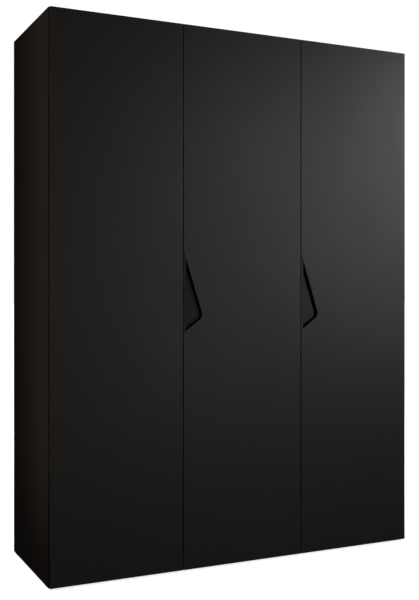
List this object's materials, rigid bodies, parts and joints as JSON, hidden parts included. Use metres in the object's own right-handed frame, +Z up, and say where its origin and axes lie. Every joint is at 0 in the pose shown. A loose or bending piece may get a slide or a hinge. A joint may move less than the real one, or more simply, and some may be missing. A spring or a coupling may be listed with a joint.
{
  "type": "three-door wardrobe",
  "caption": "Black matt wardrobe with flush full-height hinged doors, triangular recessed edge pulls, a hanging bay with rail and hat shelf, and a bay of adjustable shelves.",
  "frame": {"origin": "on the floor, under the middle of the box around the whole wardrobe with its doors closed", "axes": "+X to the right as seen from the front, +Y towards the back, +Z up; the doors face -Y"},
  "size_m": [1.5, 0.51, 2.004],
  "materials": {
    "door_laminate": "black matt laminate on particle board, fine satin sheen",
    "board_laminate": "black matt laminate on particle board",
    "hardboard": "dark lacquered hardboard",
    "pull_plastic": "black satin moulding",
    "glide_plastic": "black nylon",
    "bumper_rubber": "soft clear grey",
    "nickel_steel": "nickel plated pressed steel",
    "zinc_steel": "zinc plated",
    "chrome": "polished",
    "beech": "fluted beech"
  },
  "bodies": {
    "carcass": {"left_side_panel": "board_laminate", "right_side_panel": "board_laminate", "partition_panel": "board_laminate", "top_panel": "board_laminate", "bottom_panel": "board_laminate", "front_plinth_rail": "board_laminate", "rear_plinth_rail": "board_laminate", "back_panel_wide": "hardboard", "back_panel_narrow": "hardboard", "back_panel_nails": "zinc_steel", "cam_locks": "nickel_steel", "cam_bolts": "zinc_steel", "wooden_dowels": "beech", "floor_glides": "glide_plastic", "door_bumpers": "bumper_rubber", "wall_brackets": "nickel_steel", "wall_bracket_screws": "zinc_steel", "hat_shelf": "board_laminate", "hanging_rail": "chrome", "rail_sockets": "chrome", "rail_socket_screws": "zinc_steel", "shelf_1": "board_laminate", "shelf_2": "board_laminate", "shelf_3": "board_laminate", "shelf_4": "board_laminate", "shelf_pins": "chrome", "left_hinge_arms": "nickel_steel", "left_hinge_plates": "nickel_steel", "middle_hinge_arms": "nickel_steel", "middle_hinge_plates": "nickel_steel", "right_hinge_arms": "nickel_steel", "right_hinge_plates": "nickel_steel", "hinge_plate_screws": "zinc_steel", "hinge_arm_screws": "zinc_steel"},
    "left_door": {"left_door": "door_laminate", "left_hinge_cups": "nickel_steel", "left_hinge_pins": "zinc_steel", "left_cup_screws": "zinc_steel"},
    "middle_door": {"middle_door": "door_laminate", "middle_hinge_cups": "nickel_steel", "middle_hinge_pins": "zinc_steel", "middle_cup_screws": "zinc_steel", "middle_edge_pull": "pull_plastic", "middle_pull_screws": "zinc_steel"},
    "right_door": {"right_door": "door_laminate", "right_hinge_cups": "nickel_steel", "right_hinge_pins": "zinc_steel", "right_cup_screws": "zinc_steel", "right_edge_pull": "pull_plastic", "right_pull_screws": "zinc_steel"}
  },
  "joints": [
    {"name": "left_door_swing", "type": "hinge", "parent": "carcass", "child": "left_door", "pos_m": [-0.7405, -0.248, 1.004], "axis": [0, 0, -1], "range_deg": [0, 95]},
    {"name": "middle_door_swing", "type": "hinge", "parent": "carcass", "child": "middle_door", "pos_m": [0.2405, -0.248, 1.004], "axis": [0, 0, 1], "range_deg": [0, 95]},
    {"name": "right_door_swing", "type": "hinge", "parent": "carcass", "child": "right_door", "pos_m": [0.7405, -0.248, 1.004], "axis": [0, 0, 1], "range_deg": [0, 95]}
  ]
}
